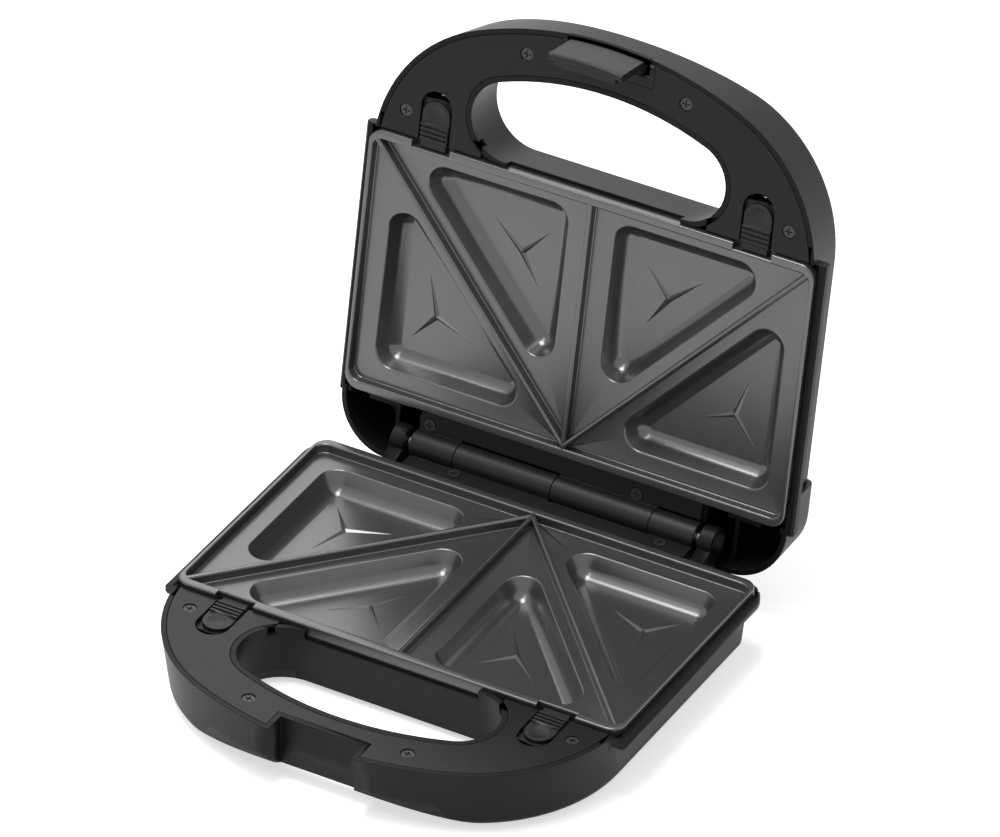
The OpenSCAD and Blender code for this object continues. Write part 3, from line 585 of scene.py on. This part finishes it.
def merge_points(mesh):
    """Joins a mesh's points that share a place and drops the edges and faces that have no size left."""
    bm = bmesh.new()
    bm.from_mesh(mesh)
    bmesh.ops.remove_doubles(bm, verts=bm.verts, dist=1e-6)
    bmesh.ops.dissolve_degenerate(bm, edges=bm.edges, dist=1e-6)
    bm.to_mesh(mesh)
    bm.free()


def shell_copy(name, node, change):
    """A merged copy of a CAD shell, with its points changed, in the frame of a half, to the photo's form."""
    mesh = frame["nodes"][node].data.copy()
    mesh.name = name
    merge_points(mesh)
    corner = (0, CENTRE_Y, -RIM_Z)
    flat = np.empty(3 * len(mesh.vertices))
    mesh.vertices.foreach_get("co", flat)
    points = (change(flat.reshape(-1, 3) / MM + corner) - corner) * MM
    mesh.vertices.foreach_set("co", points.ravel())
    merge_points(mesh)
    mesh.shade_smooth()
    mesh.set_sharp_from_angle(angle=math.radians(30))
    piece = bpy.data.objects.new(name, mesh)
    bpy.context.scene.collection.objects.link(piece)
    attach(piece, "base")
    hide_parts(node)
    return piece


def photographed_base(points):
    """The latch ledge pressed flush into the notch's rear wall, and the hinge cheeks drawn in."""
    x, y, z = points.T
    ledge_x, ledge_y, ledge_z = 12.1, BAY_Y - 1.9, -13.6
    ledge = (np.abs(x) < ledge_x) & (np.abs(y - ledge_y) < 2.0) & (np.abs(z - ledge_z) < 1.3)
    y = np.where(ledge & (y < BAY_Y - 0.2), BAY_Y, y)
    dy, dz = y - HINGE_Y, z - HINGE_Z
    cheek = (np.abs(x) > CHEEK_X[0]) & (np.abs(x) < CHEEK_X[1]) & (np.hypot(dy, dz) < CHEEK_R + 0.05)
    scale = np.where(cheek, BARREL_END_R / CHEEK_R, 1.0)
    return np.column_stack([x, HINGE_Y + dy * scale, HINGE_Z + dz * scale])


latch = riding("latch_tab", latch_tab(), lid_matrix(), "latch")
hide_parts("latch_clip")
lid_bay = riding("lid_latch_bay", bay_wall(), lid_matrix(), "lid")
lid_surround = riding("lid_latch_surround", bay_surround(), lid_matrix(), "lid")
base_moulding = shell_copy("base_shell_moulding", "base_shell", photographed_base)


# ---------- materials ----------


def node_group(name, inputs, outputs):
    """An empty shader node group with the given sockets; returns it with its input and output nodes."""
    group = bpy.data.node_groups.new(name, "ShaderNodeTree")
    for kind, socket, default in inputs:
        item = group.interface.new_socket(socket, in_out="INPUT", socket_type=kind)
        item.default_value = default
    for kind, socket in outputs:
        group.interface.new_socket(socket, in_out="OUTPUT", socket_type=kind)
    return group, group.nodes.new("NodeGroupInput"), group.nodes.new("NodeGroupOutput")


def moulded_grain_group():
    """Moulded plastic with fine grain, faint flow marks and dust, as colour, roughness and height."""
    group, given, out = node_group(
        "moulded_grain",
        [
            ("NodeSocketColor", "Colour", (0.04, 0.04, 0.042, 1)),
            ("NodeSocketFloat", "Roughness", 0.5),
            ("NodeSocketFloat", "Grain per metre", 2200.0),
            ("NodeSocketFloat", "Grain depth", 0.5),
        ],
        [("NodeSocketColor", "Colour"), ("NodeSocketFloat", "Roughness"), ("NodeSocketFloat", "Height")],
    )
    nodes, links = group.nodes, group.links
    place = nodes.new("ShaderNodeTexCoord")
    grain = nodes.new("ShaderNodeTexNoise")
    grain.inputs["Detail"].default_value = 3
    flow = nodes.new("ShaderNodeTexNoise")
    flow.inputs["Scale"].default_value = 26
    flow.inputs["Detail"].default_value = 4
    dust = nodes.new("ShaderNodeTexVoronoi")
    dust.inputs["Scale"].default_value = 420
    links.new(place.outputs["Object"], grain.inputs["Vector"])
    links.new(place.outputs["Object"], flow.inputs["Vector"])
    links.new(place.outputs["Object"], dust.inputs["Vector"])
    links.new(given.outputs["Grain per metre"], grain.inputs["Scale"])
    shade = nodes.new("ShaderNodeMapRange")
    shade.inputs["To Min"].default_value = 0.88
    shade.inputs["To Max"].default_value = 1.12
    links.new(flow.outputs["Fac"], shade.inputs["Value"])
    tint = nodes.new("ShaderNodeVectorMath")
    tint.operation = "SCALE"
    links.new(given.outputs["Colour"], tint.inputs[0])
    links.new(shade.outputs["Result"], tint.inputs["Scale"])
    speck = nodes.new("ShaderNodeMapRange")
    speck.inputs["From Min"].default_value = 0.0
    speck.inputs["From Max"].default_value = 0.07
    speck.inputs["To Min"].default_value = 0.05
    speck.inputs["To Max"].default_value = 0.0
    links.new(dust.outputs["Distance"], speck.inputs["Value"])
    dusty = nodes.new("ShaderNodeMix")
    dusty.data_type = "RGBA"
    dusty.inputs["B"].default_value = (0.3, 0.3, 0.3, 1)
    links.new(speck.outputs["Result"], dusty.inputs["Factor"])
    links.new(tint.outputs["Vector"], dusty.inputs["A"])
    rough = nodes.new("ShaderNodeMath")
    rough.operation = "MULTIPLY_ADD"
    rough.inputs[1].default_value = 0.1
    links.new(flow.outputs["Fac"], rough.inputs[0])
    links.new(given.outputs["Roughness"], rough.inputs[2])
    height = nodes.new("ShaderNodeMath")
    height.operation = "MULTIPLY"
    links.new(grain.outputs["Fac"], height.inputs[0])
    links.new(given.outputs["Grain depth"], height.inputs[1])
    links.new(dusty.outputs["Result"], out.inputs["Colour"])
    links.new(rough.outputs["Value"], out.inputs["Roughness"])
    links.new(height.outputs["Value"], out.inputs["Height"])
    return group


def brushed_group():
    """Brushed or rolled metal: long fine streaks along Y and soft clouds, as colour, roughness and height."""
    group, given, out = node_group(
        "brushed_streaks",
        [
            ("NodeSocketColor", "Colour", (0.2, 0.2, 0.2, 1)),
            ("NodeSocketFloat", "Roughness", 0.4),
            ("NodeSocketFloat", "Streak strength", 0.2),
            ("NodeSocketFloat", "Cloud strength", 0.1),
        ],
        [("NodeSocketColor", "Colour"), ("NodeSocketFloat", "Roughness"), ("NodeSocketFloat", "Height")],
    )
    nodes, links = group.nodes, group.links
    place = nodes.new("ShaderNodeTexCoord")
    stretch = nodes.new("ShaderNodeMapping")
    stretch.inputs["Scale"].default_value = (2600, 20, 20)
    streaks = nodes.new("ShaderNodeTexNoise")
    streaks.inputs["Scale"].default_value = 1
    streaks.inputs["Detail"].default_value = 4
    clouds = nodes.new("ShaderNodeTexNoise")
    clouds.inputs["Scale"].default_value = 45
    clouds.inputs["Detail"].default_value = 5
    links.new(place.outputs["Object"], stretch.inputs["Vector"])
    links.new(stretch.outputs["Vector"], streaks.inputs["Vector"])
    links.new(place.outputs["Object"], clouds.inputs["Vector"])
    parts = []
    for source, strength in ((streaks, "Streak strength"), (clouds, "Cloud strength")):
        centred = nodes.new("ShaderNodeMath")
        centred.operation = "SUBTRACT"
        centred.inputs[1].default_value = 0.5
        links.new(source.outputs["Fac"], centred.inputs[0])
        scaled = nodes.new("ShaderNodeMath")
        scaled.operation = "MULTIPLY"
        links.new(centred.outputs["Value"], scaled.inputs[0])
        links.new(given.outputs[strength], scaled.inputs[1])
        parts.append(scaled)
    total = nodes.new("ShaderNodeMath")
    total.operation = "ADD"
    links.new(parts[0].outputs["Value"], total.inputs[0])
    links.new(parts[1].outputs["Value"], total.inputs[1])
    shade = nodes.new("ShaderNodeMath")
    shade.operation = "ADD"
    shade.inputs[1].default_value = 1.0
    links.new(total.outputs["Value"], shade.inputs[0])
    tint = nodes.new("ShaderNodeVectorMath")
    tint.operation = "SCALE"
    links.new(given.outputs["Colour"], tint.inputs[0])
    links.new(shade.outputs["Value"], tint.inputs["Scale"])
    rough = nodes.new("ShaderNodeMath")
    rough.operation = "MULTIPLY_ADD"
    rough.inputs[1].default_value = 0.35
    links.new(total.outputs["Value"], rough.inputs[0])
    links.new(given.outputs["Roughness"], rough.inputs[2])
    links.new(tint.outputs["Vector"], out.inputs["Colour"])
    links.new(rough.outputs["Value"], out.inputs["Roughness"])
    links.new(streaks.outputs["Fac"], out.inputs["Height"])
    return group


GRAIN = moulded_grain_group()
STREAKS = brushed_group()


def surface(name, group, values, bump, distance, constants, edge=0.0):
    """A material with colour, roughness and bump from an effect group, and edges softened by a radius."""
    material = bpy.data.materials.new(name)
    material.use_nodes = True
    nodes, links = material.node_tree.nodes, material.node_tree.links
    shader = nodes["Principled BSDF"]
    effect = nodes.new("ShaderNodeGroup")
    effect.node_tree = group
    for socket, value in values.items():
        effect.inputs[socket].default_value = value
    links.new(effect.outputs["Colour"], shader.inputs["Base Color"])
    links.new(effect.outputs["Roughness"], shader.inputs["Roughness"])
    relief = nodes.new("ShaderNodeBump")
    relief.inputs["Strength"].default_value = bump
    relief.inputs["Distance"].default_value = distance
    if edge:
        soft = nodes.new("ShaderNodeBevel")
        soft.inputs["Radius"].default_value = edge
        links.new(soft.outputs["Normal"], relief.inputs["Normal"])
    links.new(effect.outputs["Height"], relief.inputs["Height"])
    links.new(relief.outputs["Normal"], shader.inputs["Normal"])
    for socket, value in constants.items():
        shader.inputs[socket].default_value = value
    return material


def grey(value, warm=0.0):
    """A linear grey, a little warm or cool."""
    return (value * (1 + warm), value, value * (1 - warm), 1)


def plastic(name, colour, roughness, grain=2200, depth=0.5, specular=0.25):
    """Moulded plastic, rubber or ceramic of one colour."""
    values = {"Colour": colour, "Roughness": roughness, "Grain per metre": grain, "Grain depth": depth}
    return surface(name, GRAIN, values, 0.2, 0.0002, {"Specular IOR Level": specular}, edge=0.6 * MM)


def cool(value):
    """A linear grey, a hair cooler than neutral, as black plastic is."""
    return grey(value, -0.02)


def metal(name, colour, roughness, streak, cloud, metallic, bump=0.05):
    """Metal with streaks and clouds."""
    values = {"Colour": colour, "Roughness": roughness, "Streak strength": streak, "Cloud strength": cloud}
    return surface(name, STREAKS, values, bump, 0.0001, {"Metallic": metallic})


MATERIALS = {
    "shell_plastic": plastic("shell_black", cool(0.005), 0.36, specular=0.14),
    "cover_plastic": plastic("cover_black", cool(0.006), 0.24, grain=3000, specular=0.2),
    "slider_plastic": plastic("catch_black", cool(0.012), 0.36),
    "leaf_plastic": plastic("hinge_black", cool(0.006), 0.36),
    "clip_plastic": plastic("latch_black", cool(0.012), 0.4),
    "foot_rubber": plastic("foot_rubber", cool(0.02), 0.75, grain=1200),
    "ceramic": plastic("ceramic_insulator", cool(0.72), 0.55, grain=900),
    "plate_coating": metal("plate_coating", grey(0.12), 0.25, 0.14, 0.06, 0.8, bump=0.012),
    "tray_metal": metal("tray_sheet", grey(0.75), 0.3, 0.3, 0.1, 1.0),
    "rod_metal": metal("rod_sheath", grey(0.3, 0.06), 0.5, 0.2, 0.4, 1.0),
    "spring_steel": metal("spring_wire", grey(0.6), 0.25, 0.1, 0.1, 1.0),
    "pin_steel": metal("pin_steel", grey(0.5), 0.3, 0.3, 0.1, 1.0),
    "screw_black": metal("screw_black_oxide", grey(0.05), 0.35, 0.2, 0.3, 0.7),
    "screw_steel": metal("screw_plated", grey(0.6), 0.3, 0.3, 0.1, 1.0),
    "fuse_metal": metal("fuse_case", (0.6, 0.45, 0.25, 1), 0.35, 0.2, 0.1, 1.0),
    "lens_red": plastic("lens_red", (0.55, 0.02, 0.015, 1), 0.1, depth=0.02),
    "lens_green": plastic("lens_green", (0.02, 0.35, 0.06, 1), 0.1, depth=0.02),
}

for part in frame["record"]["subparts"]:
    mesh = frame["nodes"][part["node"]].data
    mesh.materials.clear()
    mesh.materials.append(MATERIALS[part["material_slot"]])
for piece, slot in (
    (base_plate, "plate_coating"),
    (lid_plate, "plate_coating"),
    (latch, "clip_plastic"),
    (lid_bay, "shell_plastic"),
    (lid_surround, "cover_plastic"),
    (base_moulding, "shell_plastic"),
):
    piece.data.materials.clear()
    piece.data.materials.append(MATERIALS[slot])


# ---------- stage, light and camera ----------


def pale_floor():
    """A wide plain floor under the feet, near white to the camera, that still takes the object's shadow."""
    half = 4.0
    mesh = bpy.data.meshes.new("floor")
    corners = [(-half, -half, 0), (half, -half, 0), (half, half, 0), (-half, half, 0)]
    mesh.from_pydata(corners, [], [(0, 1, 2, 3)])
    floor = bpy.data.objects.new("floor", mesh)
    bpy.context.scene.collection.objects.link(floor)
    material = bpy.data.materials.new("pale_floor")
    material.use_nodes = True
    nodes, links = material.node_tree.nodes, material.node_tree.links
    shader = nodes["Principled BSDF"]
    shader.inputs["Base Color"].default_value = (0.8, 0.8, 0.8, 1)
    shader.inputs["Roughness"].default_value = 0.9
    shader.inputs["Specular IOR Level"].default_value = 0.1
    shader.inputs["Emission Color"].default_value = (1, 1, 1, 1)
    lift = nodes.new("ShaderNodeMath")
    lift.operation = "MULTIPLY"
    lift.inputs[1].default_value = 0.6
    links.new(seen_directly(nodes, links), lift.inputs[0])
    links.new(lift.outputs["Value"], shader.inputs["Emission Strength"])
    mesh.materials.append(material)


def seen_directly(nodes, links):
    """One for camera, glossy and transmission rays, and nought for the rays that light surfaces."""
    path = nodes.new("ShaderNodeLightPath")
    first = nodes.new("ShaderNodeMath")
    first.operation = "MAXIMUM"
    second = nodes.new("ShaderNodeMath")
    second.operation = "MAXIMUM"
    links.new(path.outputs["Is Camera Ray"], first.inputs[0])
    links.new(path.outputs["Is Glossy Ray"], first.inputs[1])
    links.new(first.outputs["Value"], second.inputs[0])
    links.new(path.outputs["Is Transmission Ray"], second.inputs[1])
    return second.outputs["Value"]


def world_light(level):
    """Soft even light from all round, and plain white to the camera."""
    world = bpy.data.worlds.new("studio")
    bpy.context.scene.world = world
    world.use_nodes = True
    nodes, links = world.node_tree.nodes, world.node_tree.links
    background = nodes["Background"]
    background.inputs["Color"].default_value = (1, 1, 1, 1)
    seen = nodes.new("ShaderNodeMapRange")
    seen.inputs["To Min"].default_value = level
    seen.inputs["To Max"].default_value = 1.0
    links.new(seen_directly(nodes, links), seen.inputs["Value"])
    links.new(seen.outputs["Result"], background.inputs["Strength"])


def softbox(name, azimuth, elevation, distance, width, height, power):
    """An area light that faces the toaster from a direction in degrees, 0 in front and 90 to the right."""
    a, e = math.radians(azimuth), math.radians(elevation)
    aim = Vector((0, 0.02, 0.08))
    out = Vector((math.sin(a) * math.cos(e), -math.cos(a) * math.cos(e), math.sin(e)))
    data = bpy.data.lights.new(name, "AREA")
    data.shape, data.size, data.size_y, data.energy = "RECTANGLE", width, height, power
    light = bpy.data.objects.new(name, data)
    light.location = aim + out * distance
    light.rotation_euler = out.to_track_quat("Z", "Y").to_euler()
    bpy.context.scene.collection.objects.link(light)


def photo_camera():
    """The camera of the photograph: a long lens, 30 degrees to the right and 35 degrees above."""
    azimuth, elevation, roll = (math.radians(v) for v in (29.9345, 34.9588, 0.08364))
    shift_right, shift_up, distance = -43.3285, -98.7406, 4285.23
    right = Vector((math.cos(azimuth), math.sin(azimuth), 0))
    level = math.cos(elevation)
    out = Vector((math.sin(azimuth) * level, -math.cos(azimuth) * level, math.sin(elevation)))
    up = out.cross(right)
    c, s = math.cos(roll), math.sin(roll)
    right, up = c * right + s * up, c * up - s * right
    place = -shift_right * right - shift_up * up + distance * out
    place = (place + Vector((0, -PLATE_Y + 4.2 - CENTRE_Y, RIM_Z))) * MM
    data = bpy.data.cameras.new("camera")
    data.sensor_width, data.lens = 36.0, 36.0 * 10.04689
    data.clip_end = 50
    camera = bpy.data.objects.new("camera", data)
    turn = Matrix((right, up, out)).transposed().to_4x4()
    camera.matrix_world = Matrix.Translation(place) @ turn
    bpy.context.scene.collection.objects.link(camera)
    bpy.context.scene.camera = camera


pale_floor()
world_light(0.5)
softbox("overhead", -60, 82, 1.2, 0.7, 0.55, 13)
softbox("front", -15, 55, 1.5, 0.5, 0.4, 2.5)
softbox("rear_left", -150, 33, 1.5, 1.3, 0.8, 5)
photo_camera()
bpy.context.scene.view_settings.view_transform = "Standard"
